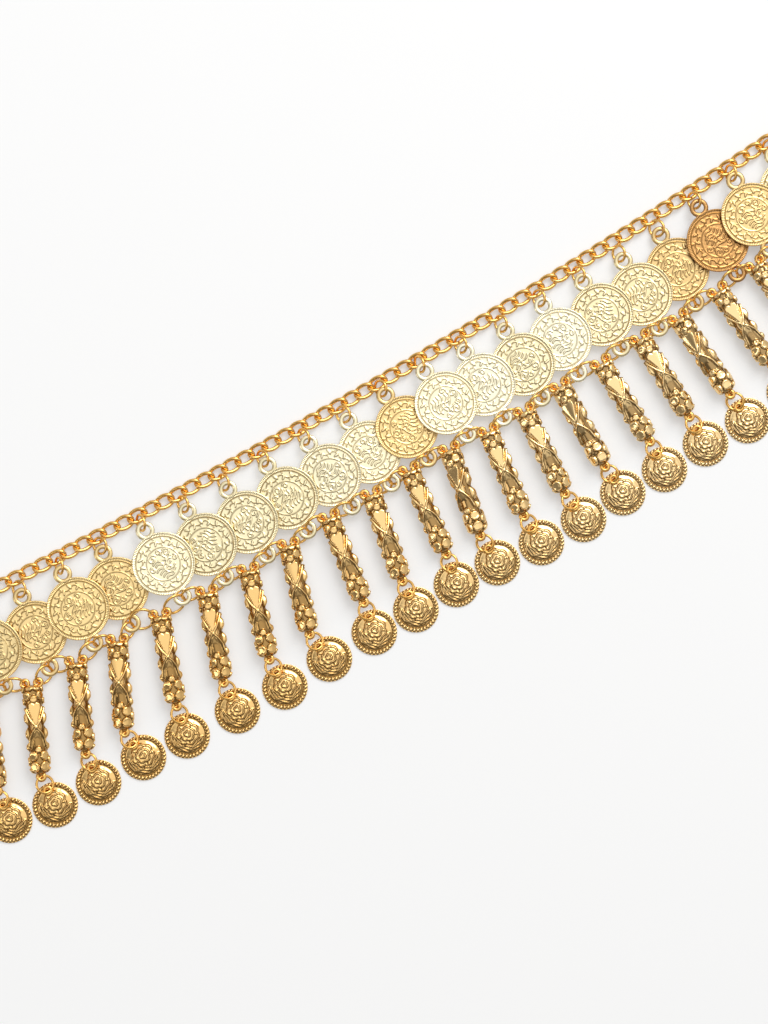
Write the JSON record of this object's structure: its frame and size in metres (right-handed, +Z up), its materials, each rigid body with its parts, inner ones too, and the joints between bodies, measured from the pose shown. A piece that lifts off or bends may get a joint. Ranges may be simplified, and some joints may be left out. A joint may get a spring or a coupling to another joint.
{
  "type": "coin waist chain",
  "caption": "Gold-tone waist chain for costumes: overlapping struck coins hang from a curb chain, with patterned drops and small domed coins below, laid flat and open.",
  "frame": {"origin": "on the surface the chain lies on, under the middle of the laid-out bounding box", "axes": "+X along the belt from the hook end of the front to the end-ring side, +Z up off the surface, the drops point towards -Y and the unfastened back runs along +Y"},
  "size_m": [0.4118, 0.1868, 0.0057],
  "materials": {
    "chain_gold": "polished deep gold-tone plate on curb links and jump rings",
    "coin_gold": "pale champagne gold-tone plate, satin, struck relief",
    "drop_gold": "bright gold-tone plate with dark recesses"
  },
  "bodies": {
    "root": {"coin_01": "coin_gold", "coin_02": "coin_gold", "coin_03": "coin_gold", "coin_04": "coin_gold", "coin_05": "coin_gold", "coin_06": "coin_gold", "coin_07": "coin_gold", "coin_08": "coin_gold", "coin_09": "coin_gold", "coin_10": "coin_gold", "coin_11": "coin_gold", "coin_12": "coin_gold", "coin_13": "coin_gold", "coin_14": "coin_gold", "coin_15": "coin_gold", "coin_16": "coin_gold", "coin_17": "coin_gold", "coin_18": "coin_gold", "coin_19": "coin_gold", "coin_20": "coin_gold", "coin_21": "coin_gold", "coin_22": "coin_gold", "coin_23": "coin_gold", "drop_01": "drop_gold", "drop_02": "drop_gold", "drop_03": "drop_gold", "drop_04": "drop_gold", "drop_05": "drop_gold", "drop_06": "drop_gold", "drop_07": "drop_gold", "drop_08": "drop_gold", "drop_09": "drop_gold", "drop_10": "drop_gold", "drop_11": "drop_gold", "drop_12": "drop_gold", "drop_13": "drop_gold", "drop_14": "drop_gold", "drop_15": "drop_gold", "drop_16": "drop_gold", "drop_17": "drop_gold", "drop_18": "drop_gold", "drop_19": "drop_gold", "drop_20": "drop_gold", "drop_21": "drop_gold", "drop_22": "drop_gold", "chain_left_end": "chain_gold", "chain_left_bend_1": "chain_gold", "chain_left_bend_2": "chain_gold", "chain_left_bend_3": "chain_gold", "chain_front": "chain_gold", "chain_right_bend_1": "chain_gold", "chain_right_bend_2": "chain_gold", "chain_right_bend_3": "chain_gold", "chain_right_end": "chain_gold", "hook": "chain_gold", "end_ring": "chain_gold"}
  },
  "joints": []
}
